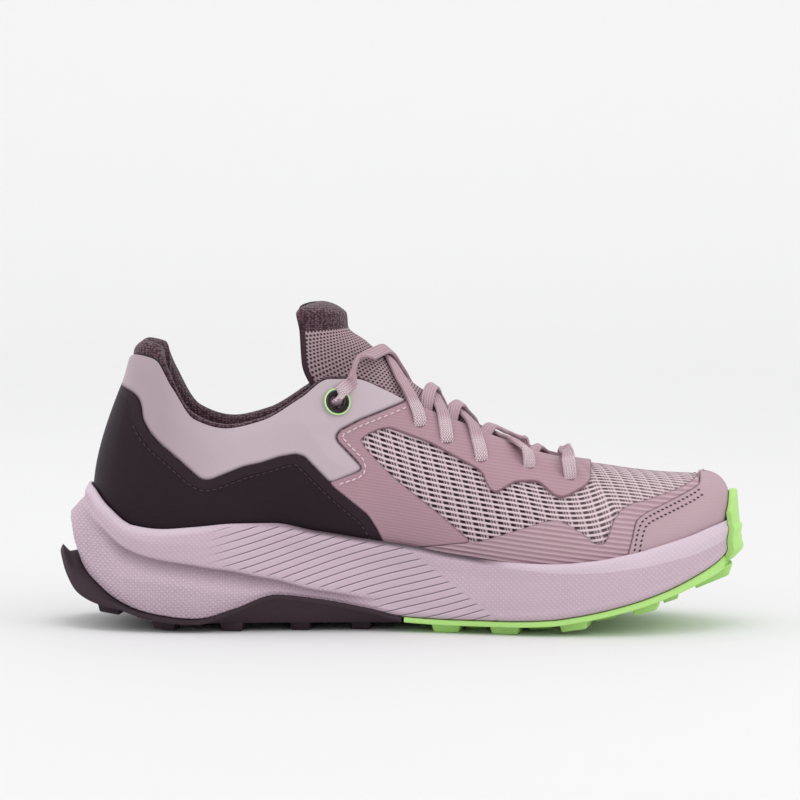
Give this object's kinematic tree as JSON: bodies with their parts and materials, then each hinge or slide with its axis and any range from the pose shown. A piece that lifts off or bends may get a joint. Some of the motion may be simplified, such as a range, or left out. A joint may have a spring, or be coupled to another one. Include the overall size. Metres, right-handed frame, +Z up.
{
  "type": "trail running shoe",
  "caption": "Low-cut lace-up trail running shoe with a hollow upper, padded collar, thick midsole and lugged outsole.",
  "frame": {"origin": "on the floor plane, at the middle of the flat bottom of the heel's centre lug, which is the mount heel_rest", "axes": "+X runs along the shoe to the toe, +Y to the outer side of this left shoe, +Z up from the floor it stands on"},
  "size_m": [0.2871, 0.1024, 0.1351],
  "materials": {
    "heel_rubber": "dark plum grey moulded rubber, satin",
    "toe_rubber": "lime green moulded rubber, satin",
    "midsole_foam": "lilac moulded foam, matte, with fine moulded grooves and knurling",
    "sock_liner": "dark knit over foam, matte",
    "mesh": "open pink and white yarn mesh over a dark backing",
    "counter_skin": "matte aubergine synthetic skin with a stitched folded edge",
    "collar_cloth": "smooth pale lilac padded cloth",
    "overlay_skin": "smooth pink synthetic skin with faint pinstripes",
    "guard_skin": "ribbed pink synthetic skin",
    "lining_knit": "dark mauve knit lining, matte",
    "tongue_mesh": "grey pink spacer mesh with dark holes",
    "lace_weave": "flat woven pink lace with ribs along it",
    "eyelet_trim": "dark moulded grommet"
  },
  "bodies": {
    "root": {"outsole_heel": "heel_rubber", "outsole_forefoot": "toe_rubber", "midsole": "midsole_foam", "insole": "sock_liner", "upper": "mesh", "heel_counter": "counter_skin", "collar_panel": "collar_cloth", "eyestay": "overlay_skin", "toe_cap": "overlay_skin", "mudguard_inner": "guard_skin", "mudguard_outer": "guard_skin", "collar_lining": "lining_knit", "tongue": "tongue_mesh", "tongue_top": "lining_knit", "eyelet_inner": "eyelet_trim", "eyelet_outer": "eyelet_trim", "lace_bar": "lace_weave", "lace_crossing_1": "lace_weave", "lace_crossing_2": "lace_weave", "lace_crossing_3": "lace_weave", "lace_crossing_4": "lace_weave", "lace_crossing_5": "lace_weave"}
  },
  "joints": []
}
